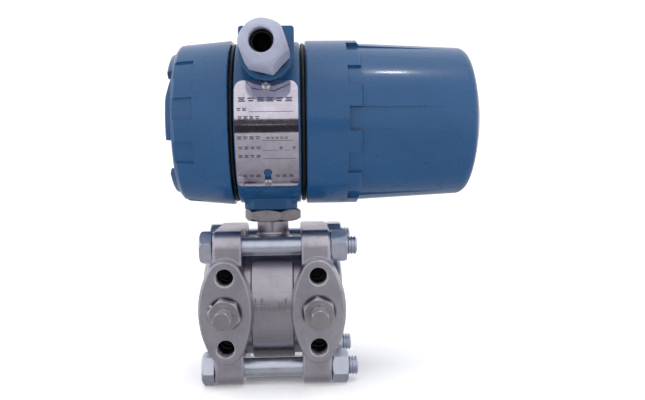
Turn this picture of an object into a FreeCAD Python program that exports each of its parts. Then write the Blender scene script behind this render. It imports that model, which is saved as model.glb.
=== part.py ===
import FreeCAD, Part
import math
import os

os.makedirs("parts", exist_ok=True)
V = FreeCAD.Vector

# ---------------------------------------------------------------------------
# Differential pressure transmitter.
# Working axes: X runs from the circuit end to the wiring end of the housing,
# -Y is the vent side, +Z is up.  Working origin: midway between the two
# process ports.  At the end everything moves to the row frame, whose origin
# is the centre of the bounding box's base.
# ---------------------------------------------------------------------------

# process connections (54 x 41.3 mm is the standard flange pattern)
port_x = 27.0          # process port centre line from the middle
tap_z = 20.65          # tapped hole above and below the port
face_y = 43.0          # pad face from the middle
tap_r = 5.10           # stand-in for a 7/16-20 UNF thread (minor 4.95, pitch 5.14, major 5.56), vent side
tap_r_rear = 5.28      # the same thread on the far side; the real holes are equal, the radii differ only so that the two blind holes on one axis can be told apart
tap_mouth_r = 5.75
tap_depth = 19.0
port_r = 5.95          # 1/4-18 NPT port
port_depth = 17.0

# flanges
fl_in = 17.4           # inner face from the middle
fl_out = 35.0          # outer face from the middle
ear_r = 9.7            # ear radius round the bolt
boss_out = 42.4        # crown of the outer boss
boss_r = 28.5
pad_w, pad_ez, pad_er = 15.0, 20.4, 9.6   # pad half width, end centre, end radius

# bolts, 7/16-14
bolt_y, bolt_z = 26.95, 36.44
bolt_r = 5.555
bolt_end = 50.5
bolt_hole_r = 5.95
hex_af = 17.46
head_h = 7.2
nut_h = 9.5
pitch = 1.814

# sensor module
ring_w, ring_r = 12.7, 36.8
shoulder_r = 34.3
neck_r = 9.8
neck_top = 69.5

# lock nut
lock_af, lock_z0, lock_z1 = 31.4, 50.0, 57.3

# electronics housing
ax_z = 110.8           # barrel axis height
hx = -0.7              # barrel middle
bar_l, bar_r_end = -19.5, 18.1
bar_r = 49.65
cav_r = 40.8
thr_r = 45.6           # cover thread on the housing
cover_clear = 0.3
cond_x, cond_z = -0.4, 147.3
cond_r = 9.3
boss_hw, boss_top, boss_y = 15.45, 161.9, 50.0
nb_x0, nb_x1, nb_y, nb_z = -16.85, 15.65, 17.0, 57.6

# long cover (wiring side)
lc_x0, lc_x1, lc_r = 21.5, 52.8, 50.4
bell_x0, bell_r0, bell_x1, bell_r1 = 53.6, 48.45, 115.03, 45.54
dome_x, dome_R = 128.0, 116.0

# short cover (circuit side)
sc_x0, sc_x1, sc_r0, sc_r1 = -22.6, -52.0, 50.5, 47.9
sc_end = -55.0
lug_end, lug_ro, lug_ri = -58.4, 42.4, 37.4

# name plate
np_x0, np_x1 = -18.8, 16.8
np_ri, np_ro = 49.95, 50.55
np_mid, np_half_h, np_corner = -12.6, 31.0, 4.6
np_screw_hi, np_screw_lo, np_key = 20.9, -44.0, -36.4
np_slot = 1.8

nodes = {}


# ------------------------------ helpers ------------------------------------
def cx(r, x0, x1, y=0.0, z=0.0):
    return Part.makeCylinder(r, abs(x1 - x0), V(min(x0, x1), y, z), V(1, 0, 0))


def cy(r, y0, y1, x=0.0, z=0.0):
    return Part.makeCylinder(r, abs(y1 - y0), V(x, min(y0, y1), z), V(0, 1, 0))


def cz(r, z0, z1, x=0.0, y=0.0):
    return Part.makeCylinder(r, abs(z1 - z0), V(x, y, min(z0, z1)), V(0, 0, 1))


def box(x0, x1, y0, y1, z0, z1):
    return Part.makeBox(x1 - x0, y1 - y0, z1 - z0, V(x0, y0, z0))


def turn_x(pts, z=0.0, ang0=0.0, ang=360.0):
    """Solid of revolution about the X direction through height z.
    pts are (x, r).  ang0 is measured up from the -Y side."""
    w = Part.makePolygon([V(x, -r, 0) for x, r in pts] + [V(pts[0][0], -pts[0][1], 0)])
    f = Part.Face(w)
    # about -X so that positive angle lifts the -Y side
    f.rotate(V(0, 0, 0), V(-1, 0, 0), ang0)
    s = f.revolve(V(0, 0, 0), V(-1, 0, 0), ang)
    s.translate(V(0, 0, z))
    return s


def turn_y(pts, x=0.0, z=0.0):
    w = Part.makePolygon([V(r, y, 0) for y, r in pts] + [V(pts[0][1], pts[0][0], 0)])
    s = Part.Face(w).revolve(V(0, 0, 0), V(0, 1, 0), 360)
    s.translate(V(x, 0, z))
    return s


def turn_z(pts, x=0.0, y=0.0):
    w = Part.makePolygon([V(r, 0, z) for z, r in pts] + [V(pts[0][1], 0, pts[0][0])])
    s = Part.Face(w).revolve(V(0, 0, 0), V(0, 0, 1), 360)
    s.translate(V(x, y, 0))
    return s


def turn_wire_x(edges, z=0.0):
    s = Part.Face(Part.Wire(edges)).revolve(V(0, 0, 0), V(1, 0, 0), 360)
    s.translate(V(0, 0, z))
    return s


def hexagon(af, axis, base, length, rot):
    """Hex bar.  axis 'x': rot is a vertex's angle up from -Y.
    axis 'y': rot is a vertex's angle up from +X.  axis 'z': from -Y to +X."""
    R = af / math.sqrt(3.0)
    pts = []
    for k in range(7):
        a = math.radians(rot + 60.0 * k)
        if axis == 'x':
            pts.append(V(base, -R * math.cos(a), R * math.sin(a)))
        elif axis == 'y':
            pts.append(V(R * math.cos(a), base, R * math.sin(a)))
        else:
            pts.append(V(R * math.sin(a), -R * math.cos(a), base))
    d = {'x': V(length, 0, 0), 'y': V(0, length, 0), 'z': V(0, 0, length)}[axis]
    return Part.Face(Part.makePolygon(pts)).extrude(d)


def chamfer_profile(a0, a1, af, both, depth=None):
    """(station, radius) outline that rounds a hex bar's corners off at a1,
    and at a0 too if both."""
    R = af / math.sqrt(3.0) + 0.02
    r = af / 2.0 * 0.985
    h = (R - r) * 0.55 if depth is None else depth
    s = 1.0 if a1 > a0 else -1.0
    pts = [(a0, 0)]
    if both:
        pts += [(a0, r), (a0 + s * h, R)]
    else:
        pts += [(a0, R)]
    pts += [(a1 - s * h, R), (a1, r), (a1, 0)]
    return pts


def fuse(shapes):
    s = shapes[0].fuse(shapes[1:]) if len(shapes) > 1 else shapes[0]
    try:
        s = s.removeSplitter()
    except Exception:
        pass
    return s


def one(s):
    """Return the single solid of a shape."""
    so = s.Solids
    if len(so) == 1:
        return so[0]
    return Part.makeCompound(so)


def add(name, shape):
    if isinstance(shape, (list, tuple)):
        solids = []
        for q in shape:
            solids += q.Solids
        shape = solids[0] if len(solids) == 1 else Part.makeCompound(solids)
    else:
        shape = one(shape)
    nodes[name] = shape


def safe_fillet(shape, r, pick):
    edges = [e for e in shape.Edges if pick(e)]
    if not edges:
        print("fillet: no edges", r)
        return shape
    try:
        q = shape.makeFillet(r, edges)
        if q.isValid() and q.Volume > 0:
            return q
    except Exception as err:
        pass
    print("fillet: whole set refused", r, len(edges))
    return shape


# ------------------------------ sensor module ------------------------------
mod = turn_x([(-fl_in, 0), (-fl_in, shoulder_r - 0.5), (-fl_in + 0.5, shoulder_r), (-ring_w, shoulder_r),
              (-ring_w, ring_r - 0.7), (-ring_w + 0.7, ring_r), (ring_w - 0.7, ring_r), (ring_w, ring_r - 0.7),
              (ring_w, shoulder_r), (fl_in - 0.5, shoulder_r), (fl_in, shoulder_r - 0.5), (fl_in, 0)])
neck = turn_z([(30.0, 0), (30.0, neck_r + 0.6), (ring_r + 2.2, neck_r + 3.0), (ring_r + 3.6, neck_r + 1.2),
               (ring_r + 5.2, neck_r + 0.25), (ring_r + 6.0, neck_r), (neck_top - 1.0, neck_r), (neck_top, neck_r - 1.0), (neck_top, 0)])
mod = fuse([mod, neck])
cell_r, cell_w = 22.0, 10.5
mod = mod.cut(cx(cell_r + 0.1, -cell_w - 0.1, cell_w + 0.1))
mod = mod.cut(cz(6.6, 30.0, neck_top + 1))          # lead bore in the neck
mod = mod.cut(cz(3.2, 15.0, 31.0))
for s in (-1, 1):
    mod = mod.cut(cx(25.0, s * (fl_in - 0.9), s * (fl_in + 1)))    # diaphragm seat
    mod = mod.cut(cx(1.2, s * (cell_w - 0.5), s * fl_in, 0, -9.0))  # fill passage
# stamped side letters on the ring, strokes 0.6 mm deep
def stroke(x0, x1, z0, z1):
    return box(x0, x1, -ring_r - 1.0, -math.sqrt(ring_r ** 2 - max(z0 * z0, z1 * z1)) + 0.6, z0, z1)
def letter(cx0, segs, h):
    out = []
    for (a, b, c, d) in segs:
        n = 3
        for i in range(n):
            z0 = c + (d - c) * i / n
            z1 = c + (d - c) * (i + 1) / n
            out.append(stroke(cx0 + a, cx0 + b, z0, z1))
    return out
zc = 3.4
mod = mod.cut(letter(-8.0, [(-2.3, -1.5, zc - 3.6, zc + 3.6), (1.5, 2.3, zc - 3.6, zc + 3.6), (-1.5, 1.5, zc - 0.4, zc + 0.4)], 7.2))
mod = mod.cut(letter(9.2, [(-1.6, -0.8, zc - 3.4, zc + 3.4), (-0.8, 1.6, zc - 3.4, zc - 2.6)], 6.8))
add("sensor_module", mod)

for s, nm in ((-1, "high"), (1, "low")):
    # one half of the sealed sensing cell, its inner face dished for the plate
    half = turn_x([(s * 0.25, 4.0), (s * 0.25, cell_r), (s * cell_w, cell_r), (s * cell_w, 0.0), (s * 1.6, 0.0), (s * 1.2, 2.0)])
    half = half.cut(cx(1.2, s * 0.2, s * (cell_w + 1), 0, -9.0))
    add("sensing_cell_" + nm, half)
    # thin corrugated isolating diaphragm
    pts_o, pts_i = [], []
    n = 33
    for i in range(n):
        r = 24.6 * i / (n - 1)
        w = 0.22 * math.sin(r * 1.55) if 4 < r < 21.5 else 0.0
        pts_o.append((s * (fl_in - 0.15 + w - 0.25), r))
        pts_i.append((s * (fl_in - 0.15 + w - 0.55), r))
    add("isolating_diaphragm_" + nm, turn_x(pts_o + pts_i[::-1]))
    add("process_gasket_" + nm, cx(28.2, s * fl_in, s * (fl_in + 2.3)).cut(cx(25.8, s * (fl_in - 1), s * (fl_in + 3))))
add("sensing_diaphragm", cx(cell_r, -0.2, 0.2))
header = turn_z([(40.0, 0), (40.0, 6.5), (45.5, 6.5), (45.5, 0)])
pins = [cz(0.55, 36.0, 50.5, 3.4 * math.cos(math.radians(a)), 3.4 * math.sin(math.radians(a))) for a in range(0, 360, 72)]
add("lead_header", fuse([header] + pins))
add("lead_connector", turn_z([(50.6, 0), (50.6, 5.6), (63.5, 5.6), (63.5, 4.2), (66.0, 4.2), (66.0, 0)]))

# ------------------------------ flanges ------------------------------------
def lens_wire(y, grow=0.0):
    w, ez, er = pad_w + grow, pad_ez, pad_er + grow
    # side arcs through (+-w, 0) tangent to end arcs of radius er at (0, +-ez)
    Rb = (w * w + ez * ez - er * er) / (2.0 * (w - er))
    c = Rb - w
    L = math.hypot(c, ez)
    tx, tz = -c + Rb * c / L, Rb * ez / L
    def P(a, b):
        return V(a, y, b)
    e = [Part.Arc(P(tx, tz), P(0, ez + er), P(-tx, tz)).toShape(),
         Part.Arc(P(-tx, tz), P(-w, 0), P(-tx, -tz)).toShape(),
         Part.Arc(P(-tx, -tz), P(0, -ez - er), P(tx, -tz)).toShape(),
         Part.Arc(P(tx, -tz), P(w, 0), P(tx, tz)).toShape()]
    return Part.Wire(e)


def flange(s):
    hy, hz = bolt_y, bolt_z
    parts = [cx(ear_r, s * fl_in, s * fl_out, a * hy, b * hz) for a in (-1, 1) for b in (-1, 1)]
    x0, x1 = sorted((s * fl_in, s * fl_out))
    parts.append(box(x0, x1, -hy - ear_r, hy + ear_r, -hz, hz))
    parts.append(box(x0, x1, -hy, hy, -hz - ear_r, hz + ear_r))
    plate = fuse(parts)
    def outline(e, xx):
        b = e.BoundBox
        return abs(b.XMin - xx) < 1e-4 and abs(b.XMax - xx) < 1e-4
    plate = safe_fillet(plate, 2.4, lambda e: outline(e, s * fl_out))
    plate = safe_fillet(plate, 1.3, lambda e: outline(e, s * fl_in))
    # pads, front and back, joined by a lens-shaped bridge outside the module
    f1 = Part.Face(lens_wire(-face_y)).extrude(V(0, 2 * face_y, 0))
    lo = Part.makeLoft([lens_wire(-face_y + 1.2, 0.25), lens_wire(-bolt_y - ear_r + 0.6, 1.35)], True, False)
    hi = lo.mirror(V(0, 0, 0), V(0, 1, 0))
    lens = fuse([f1, lo, hi])
    def rim(e):
        b = e.BoundBox
        return (abs(b.YMin + face_y) < 1e-4 and abs(b.YMax + face_y) < 1e-4) or (abs(b.YMin - face_y) < 1e-4 and abs(b.YMax - face_y) < 1e-4)
    lens = safe_fillet(lens, 0.7, rim)
    lens.translate(V(s * port_x, 0, 0))
    inner = box(-fl_in, fl_in, -37.3, 37.3, -60, 60)
    lens = lens.cut(inner)
    b0, b1 = fl_out - 1.0, boss_out
    boss = turn_x([(s * b0, 0), (s * b0, boss_r + 2.2), (s * (fl_out + 0.9), boss_r + 0.9), (s * (fl_out + 2.2), boss_r),
                   (s * (b1 - 3.0), boss_r - 0.5), (s * (b1 - 1.3), boss_r - 1.5), (s * (b1 - 0.4), boss_r - 3.4), (s * b1, boss_r - 6.2), (s * b1, 0)])
    boss = boss.common(box(-60, 60, -34, 34, -31, 31))
    fl = fuse([plate, lens, boss])
    if s < 0:
        # cast lug on the inner edge of this casting
        lug = box(-fl_in - 2.0, -15.9, -17.0, 13.0, 41.5, bolt_z + ear_r - 0.1)
        lug = safe_fillet(lug, 1.4, lambda e: e.BoundBox.XMin > -fl_in and e.Length > 2)
        fl = fuse([fl, lug])
    # bolt holes
    cut = [cx(bolt_hole_r, s * (fl_in - 4), s * (fl_out + 12), a * hy, b * hz) for a in (-1, 1) for b in (-1, 1)]
    # spot faces that seat the heads and nuts
    cut += [cx(10.4, s * fl_out, s * (fl_out + 9), a * hy, b * hz) for a in (-1, 1) for b in (-1, 1)]
    for d in (-1, 1):
        tr_ = tap_r if d < 0 else tap_r_rear
        for b in (-1, 1):
            cut.append(turn_y([(d * (face_y + 0.5), 0), (d * (face_y + 0.5), tap_mouth_r + 0.3), (d * face_y, tap_mouth_r),
                               (d * (face_y - 0.75), tr_), (d * (face_y - tap_depth), tr_), (d * (face_y - tap_depth - 0.2), 4.4), (d * (face_y - tap_depth - 4.5), 4.4), (d * (face_y - tap_depth - 6.6), 0)], s * port_x, b * tap_z))
        cut.append(turn_y([(d * (face_y + 0.5), 0), (d * (face_y + 0.5), port_r + 1.0), (d * (face_y - 0.6), port_r),
                           (d * (face_y - port_depth), port_r), (d * (face_y - port_depth - 3), 2.4), (0, 2.4), (0, 0)], s * port_x, 0))
    cut.append(cx(2.4, s * (fl_in - 1), s * port_x))
    cut.append(cx(24.8, s * (fl_in - 1), s * (fl_in + 1.4)))          # pressure chamber
    cut.append(cx(28.4, s * (fl_in - 1), s * (fl_in + 2.4)).cut(cx(25.6, s * (fl_in - 1), s * (fl_in + 3))))  # gasket groove
    fl = fl.cut(cut)
    return fl


fl_hi = flange(-1)
fl_lo = flange(1)
add("flange_high", fl_hi)
add("flange_low", fl_lo)

# ------------------------------ bolts and nuts -----------------------------
def bolt(y, z, rot):
    pts = [(-fl_out, 0), (-fl_out, bolt_r), (26.0, bolt_r)]
    x = 26.0
    while x + pitch < bolt_end - 0.8:
        pts += [(x + 0.25 * pitch, bolt_r - 0.75), (x + 0.42 * pitch, bolt_r - 0.75), (x + 0.86 * pitch, bolt_r - 0.03), (x + pitch, bolt_r - 0.03)]
        x += pitch
    pts += [(x + 0.25 * pitch, bolt_r - 0.75), (bolt_end - 0.5, bolt_r - 0.75), (bolt_end, bolt_r - 1.3), (bolt_end, 0)]
    sh = turn_x(pts)
    hd = hexagon(hex_af, 'x', -fl_out - head_h, head_h, rot)
    hd = hd.common(turn_x(chamfer_profile(-fl_out, -fl_out - head_h, hex_af, False, 1.5)))
    b = fuse([sh, hd])
    b.translate(V(0, y, z))
    return b


def nut(y, z, rot):
    n = hexagon(hex_af, 'x', fl_out, nut_h, rot)
    n = n.common(turn_x(chamfer_profile(fl_out, fl_out + nut_h, hex_af, True, 1.1)))
    n = n.cut(cx(bolt_r + 0.05, fl_out - 1, fl_out + nut_h + 1))
    n = n.cut(turn_x([(fl_out + nut_h - 0.8, 0), (fl_out + nut_h - 0.8, bolt_r + 0.05), (fl_out + nut_h + 0.1, bolt_r + 0.95), (fl_out + nut_h + 0.1, 0)]))
    n.translate(V(0, y, z))
    return n


bolt_rots = {(-1, 1): 19.0, (-1, -1): -6.0, (1, 1): 0.0, (1, -1): 2.0}
nut_rots = {(-1, 1): 17.0, (-1, -1): -14.0, (1, 1): -3.0, (1, -1): 2.0}
add("flange_bolts", [bolt(a * bolt_y, b * bolt_z, r) for (a, b), r in bolt_rots.items()])
add("flange_nuts", [nut(a * bolt_y, b * bolt_z, r) for (a, b), r in nut_rots.items()])

# ------------------------------ vent valves --------------------------------
def vent(s, rot_seat, rot_stem, bleed, nib=None):
    x = s * port_x
    yf = -face_y
    af, hs = 17.0, 7.3
    seat = hexagon(af, 'y', yf - 0.6 - hs, hs, rot_seat)
    seat = seat.common(turn_y(chamfer_profile(yf - 0.6, yf - 0.6 - hs, af, False, 0.3)))
    tail = turn_y([(yf - 0.7, 0), (yf - 0.7, port_r - 0.1), (yf + 13.0, port_r - 0.1), (yf + 14.5, port_r - 1.4), (yf + 14.5, 0)])
    front = turn_y([(yf - 7.8, 0), (yf - 7.8, 4.6), (yf - 9.4, 4.6), (yf - 9.4, 0)])
    seat = fuse([seat, tail, front])
    if nib is not None:
        b = math.radians(nib)
        d = V(math.cos(b), 0, math.sin(b))
        seat = fuse([seat, Part.makeCylinder(1.2, 3.3, V(6.9 * d.x, yf - 4.2, 6.9 * d.z), d)])
        seat = seat.cut(Part.makeCylinder(0.5, 2.0, V(8.8 * d.x, yf - 4.2, 8.8 * d.z), d))
    seat = seat.cut(turn_y([(yf - 12.0, 0), (yf - 12.0, 3.28), (yf + 6.5, 3.28), (yf + 9.0, 1.2), (yf + 15.5, 1.2), (yf + 15.5, 0)]))
    a = math.radians(bleed)
    seat = seat.cut(Part.makeCylinder(0.8, 12.0, V(3.0 * math.cos(a), yf - 4.0, 3.0 * math.sin(a)), V(math.cos(a), 0, math.sin(a))))
    seat.translate(V(x, 0, 0))
    h0, h1 = yf - 10.1, yf - 20.0
    stem = hexagon(9.4, 'y', h1, h0 - h1, rot_stem)
    stem = stem.common(turn_y(chamfer_profile(h0, h1, 9.4, True, 0.3)))
    rod = turn_y([(h0 - 0.5, 0), (h0 - 0.5, 3.2), (yf + 6.2, 3.2), (yf + 8.3, 1.3), (yf + 8.3, 0)])
    stem = fuse([stem, rod])
    stem.translate(V(x, 0, 0))
    return seat, stem


seat_h, stem_h = vent(-1, 104.0, 61.0, 254.0, 146.0)
seat_l, stem_l = vent(1, 95.6, 87.5, 270.0)
add("vent_seat_high", seat_h)
add("vent_seat_low", seat_l)
add("vent_stem_high", stem_h)
add("vent_stem_low", stem_l)

# ------------------------------ lock nut -----------------------------------
ln = hexagon(lock_af, 'z', lock_z0, lock_z1 - lock_z0, 16.5)
ln = ln.common(turn_z(chamfer_profile(lock_z0, lock_z1, lock_af, True, 1.5)))
ln = ln.cut(cz(neck_r + 0.09, lock_z0 - 1, lock_z1 + 1))
add("lock_nut", ln)

# ------------------------------ housing ------------------------------------
core = turn_x([(-34.0, 0), (-34.0, thr_r - 1.0), (-33.0, thr_r), (bar_l, thr_r), (bar_l, bar_r - 1.1), (bar_l + 0.35, bar_r - 0.3), (bar_l + 1.2, bar_r),
               (bar_r_end - 1.2, bar_r), (bar_r_end - 0.35, bar_r - 0.3), (bar_r_end, bar_r - 1.1), (bar_r_end, thr_r), (31.6, thr_r), (32.6, thr_r - 1.0), (32.6, 0)], ax_z)
bs = box(cond_x - boss_hw, cond_x + boss_hw, -boss_y, boss_y, cond_z, boss_top)
bs = safe_fillet(bs, 1.8, lambda e: abs(e.BoundBox.ZMin - boss_top) < 1e-4 and e.Length > 60)
bs = fuse([bs, cy(boss_hw, -boss_y, boss_y, cond_x, cond_z).common(box(-40, 40, -60, 60, 100.0, cond_z + 2.0))])
bs = safe_fillet(bs, 0.8, lambda e: abs(abs(e.BoundBox.YMin) - boss_y) < 1e-4 and abs(abs(e.BoundBox.YMax) - boss_y) < 1e-4)
nb = box(nb_x0, nb_x1, -nb_y, nb_y, nb_z, 80.0)
nb = safe_fillet(nb, 7.0, lambda e: e.BoundBox.ZLength > 20)
nb = safe_fillet(nb, 1.0, lambda e: abs(e.BoundBox.ZMax - nb_z) < 1e-4)
flare = Part.makeLoft([Part.makePolygon([V(nb_x0 - a, -nb_y - a, z), V(nb_x1 + a, -nb_y - a, z), V(nb_x1 + a, nb_y + a, z), V(nb_x0 - a, nb_y + a, z), V(nb_x0 - a, -nb_y - a, z)])
                       for a, z in ((-1.4, 61.2), (1.6, 66.5))], True, True)
hs = fuse([core, bs, nb, flare])
part_x0, part_x1, low_x0, low_x1, shelf0, shelf1 = -14.0, -11.0, 9.0, 12.0, 92.0, 95.0
hs = hs.cut([cx(cav_r, -40, 40, 0, ax_z), cz(neck_r + 0.09, nb_z - 2, 73.0), cy(cond_r, -boss_y - 1, boss_y + 1, cond_x, cond_z)])
# stepped wall between the circuit and wiring ends
wall = cx(cav_r, part_x0, low_x1, 0, ax_z).cut([box(part_x0 - 1, low_x0, -60, 60, 0, shelf0), box(part_x1, low_x1 + 1, -60, 60, shelf1, 200),
                                               cz(neck_r + 0.09, nb_z - 2, 73.0)])
# bores for the two adjusters, behind the name plate
adj_x, adj_angs, adj_r = -16.4, (9.0, -15.0), 1.95
def radial(r, ang, a0, a1, x, shape=None):
    """Cylinder along the radius at ang degrees up from -Y, from a0 to a1."""
    a = math.radians(ang)
    d = V(0, -math.cos(a), math.sin(a))
    return Part.makeCylinder(r, a1 - a0, V(x, d.y * a0, ax_z + d.z * a0), d)
hs = hs.cut([radial(adj_r + 0.08, g, 36, 52, adj_x) for g in adj_angs])
np_cx = 0.5 * (np_x0 + np_x1)
hs = hs.cut([radial(1.5, g, 42.5, 52, np_cx) for g in (np_screw_hi, np_screw_lo)])
add("housing", hs)
add("housing_partition", wall.cut(cx(4.0, part_x0 - 1, part_x1 + 1, 22.0, 104.0)))   # hole for the bushing

# ------------------------------ name plate ---------------------------------
def rrect(hw, hh, r, cx0):
    e = []
    k = math.sqrt(0.5)
    cs = [(hw - r, hh - r, 1, 1), (-(hw - r), hh - r, -1, 1), (-(hw - r), -(hh - r), -1, -1), (hw - r, -(hh - r), 1, -1)]
    pts = []
    for (a, b, sx, sz) in cs:
        pts.append((a, b, sx, sz))
    def P(a, b):
        return V(cx0 + a, 0, b)
    e.append(Part.Arc(P(hw, hh - r), P(hw - r + r * k, hh - r + r * k), P(hw - r, hh)).toShape())
    e.append(Part.makeLine(P(hw - r, hh), P(-hw + r, hh)))
    e.append(Part.Arc(P(-hw + r, hh), P(-hw + r - r * k, hh - r + r * k), P(-hw, hh - r)).toShape())
    e.append(Part.makeLine(P(-hw, hh - r), P(-hw, -hh + r)))
    e.append(Part.Arc(P(-hw, -hh + r), P(-hw + r - r * k, -hh + r - r * k), P(-hw + r, -hh)).toShape())
    e.append(Part.makeLine(P(-hw + r, -hh), P(hw - r, -hh)))
    e.append(Part.Arc(P(hw - r, -hh), P(hw - r + r * k, -hh + r - r * k), P(hw, -hh + r)).toShape())
    e.append(Part.makeLine(P(hw, -hh + r), P(hw, hh - r)))
    return Part.Wire(e)


ring = cx(np_ro, np_x0 - 1, np_x1 + 1, 0, ax_z).cut(cx(np_ri, np_x0 - 2, np_x1 + 2, 0, ax_z))
prism = Part.Face(rrect(0.5 * (np_x1 - np_x0), np_half_h, np_corner, np_cx)).extrude(V(0, -60, 0))
prism.rotate(V(0, 0, 0), V(-1, 0, 0), np_mid)
prism.translate(V(0, 0, ax_z))
pl = ring.common(prism)
def slot_cut(a0, a1, half):
    """Radial slot of half width 'half' between two angles on the plate."""
    return turn_x([(np_cx - half, np_ri - 1), (np_cx + half, np_ri - 1), (np_cx + half, np_ro + 1), (np_cx - half, np_ro + 1)], ax_z, a0, a1 - a0)
pl = pl.cut(cy(boss_hw + 0.3, -60, 0, cond_x, cond_z))
pl = pl.cut([radial(np_slot, np_screw_hi, 48, 53, np_cx), slot_cut(np_screw_hi, 32.0, np_slot),
             radial(np_slot, np_screw_lo, 48, 53, np_cx), slot_cut(np_screw_lo, np_key, np_slot), radial(2.4, np_key, 48, 53, np_cx)])
add("nameplate", pl)

def np_screw(g):
    sh = radial(1.45, g, 43.0, 51.2, np_cx)
    a = math.radians(g)
    d = V(0, -math.cos(a), math.sin(a))
    def P(t):
        return V(np_cx, d.y * t, ax_z + d.z * t)
    hd = Part.makeCylinder(2.3, 1.1, P(50.95), d)
    cp = Part.makeCone(2.3, 1.5, 0.6, P(52.05), d)
    s = fuse([sh, hd, cp])
    sl = Part.makeBox(7, 0.8, 2, V(-3.5, -0.4, 0))
    m = FreeCAD.Placement(P(51.75), FreeCAD.Rotation(V(0, 0, 1), d))
    sl.Placement = m
    sl2 = Part.makeBox(0.8, 3.4, 2, V(-0.4, -1.7, 0))
    sl2.Placement = m
    return s.cut([sl, sl2])
add("nameplate_screws", [np_screw(np_screw_hi), np_screw(np_screw_lo)])

for g, nm in zip(adj_angs, ("zero_adjuster", "span_adjuster")):
    sh = radial(adj_r, g, 37.2, 49.2, adj_x)
    a = math.radians(g)
    d = V(0, -math.cos(a), math.sin(a))
    sl = Part.makeBox(6, 0.7, 2, V(-3, -0.35, 0))
    sl.Placement = FreeCAD.Placement(V(adj_x, d.y * 48.0, ax_z + d.z * 48.0), FreeCAD.Rotation(V(0, 0, 1), d))
    add(nm, sh.cut(sl))

# ------------------------------ conduit entry ------------------------------
# the gland leans a little in its thread: left and up as it comes forward
tilt_left, tilt_up = 1.94, 1.45
def tilt(s):
    s = s.copy()
    s.rotate(V(cond_x, -boss_y, cond_z), V(0, 0, 1), -tilt_left)
    s.rotate(V(cond_x, -boss_y, cond_z), V(1, 0, 0), -tilt_up)
    return s


gasket = cy(12.4, -boss_y - 3.0, -boss_y, cond_x, cond_z).cut(cy(9.3, -boss_y - 4, -boss_y + 1, cond_x, cond_z))
add("gland_gasket", gasket.cut(tilt(box(cond_x - 20, cond_x + 20, -boss_y - 12, -boss_y - 1.5, cond_z - 20, cond_z + 20))))
g0 = -boss_y - 1.5
gb = hexagon(23.6, 'y', g0 - 5.5, 5.5, -74.0).common(turn_y(chamfer_profile(g0, g0 - 5.5, 23.6, False, 0.6)))
gb.translate(V(cond_x, 0, cond_z))
gb = fuse([gb, cy(8.6, g0 - 1, g0 + 13.5, cond_x, cond_z), cy(9.7, g0 - 18.0, g0 - 5.0, cond_x, cond_z)])
gb = gb.cut(cy(7.3, g0 - 20, g0 + 15, cond_x, cond_z))
add("gland_body", tilt(gb))
# clamping nut: hex at the back, full dome in front
n0, n1 = g0 - 6.4, -85.5
gland_hole_r = 6.4
dome = turn_y([(n0, 0), (n0, 13.5), (n0 - 0.8, 14.3), (n0 - 8.0, 14.3), (n0 - 12.0, 14.0), (n0 - 17.0, 13.3), (n0 - 21.0, 12.4),
               (n0 - 24.0, 11.2), (n0 - 26.0, 9.6), (n1 + 0.35, 8.2), (n1, 7.5), (n1, 0)])
hexn = hexagon(24.2, 'y', n1 - 1, n0 - n1 + 1, -72.0)
gn = hexn
gn = safe_fillet(gn, 1.6, lambda e: e.BoundBox.YLength > 20)
gn = gn.common(dome.translated(V(0, 0, 0)) if hasattr(dome, "translated") else dome)
gn = gn.cut(turn_y([(n0 + 0.5, 0), (n0 + 0.5, 10.0), (g0 - 18.6, 10.0), (g0 - 22.0, 8.6), (g0 - 27.0, 7.0), (g0 - 28.4, gland_hole_r), (n1 + 0.5, gland_hole_r), (n1 - 0.3, gland_hole_r + 0.7), (n1 - 0.3, 0)]))
gn.translate(V(cond_x, 0, cond_z))
add("gland_nut", tilt(gn))
seal = turn_y([(g0 - 9.0, 5.0), (g0 - 9.0, 7.2), (g0 - 18.3, 7.2), (g0 - 20.5, 8.2), (g0 - 22.0, 7.9), (g0 - 26.5, 6.5), (g0 - 26.5, 5.0)], cond_x, cond_z)
add("gland_seal", tilt(seal))

pg = fuse([cy(9.2, boss_y - 12.0, boss_y + 1.0, cond_x, cond_z), turn_y([(boss_y, 0), (boss_y, 12.6), (boss_y + 2.2, 12.6), (boss_y + 3.0, 11.8), (boss_y + 3.0, 0)], cond_x, cond_z)])
ph = hexagon(17.0, 'y', boss_y + 2.5, 6.5, 0.0).common(turn_y(chamfer_profile(boss_y + 2.5, boss_y + 9.0, 17.0, False, 0.9)))
ph.translate(V(cond_x, 0, cond_z))
add("rear_conduit_plug", fuse([pg, ph]))

# ------------------------------ covers -------------------------------------
def wedge(x0, x1, r_at0, r_at1, ang, width):
    lo, hi = sorted((x0, x1))
    ra, rb = (r_at0, r_at1) if x0 < x1 else (r_at1, r_at0)
    return turn_x([(lo, ra), (hi, rb), (hi, 56), (lo, 56)], ax_z, ang - 0.5 * width, width)


def dome_r(x):
    return math.sqrt(max(0.0, dome_R ** 2 - (dome_R - (dome_x - x)) ** 2))

bi = thr_r + cover_clear
A = V(lc_x0, bi, 0)
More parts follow.
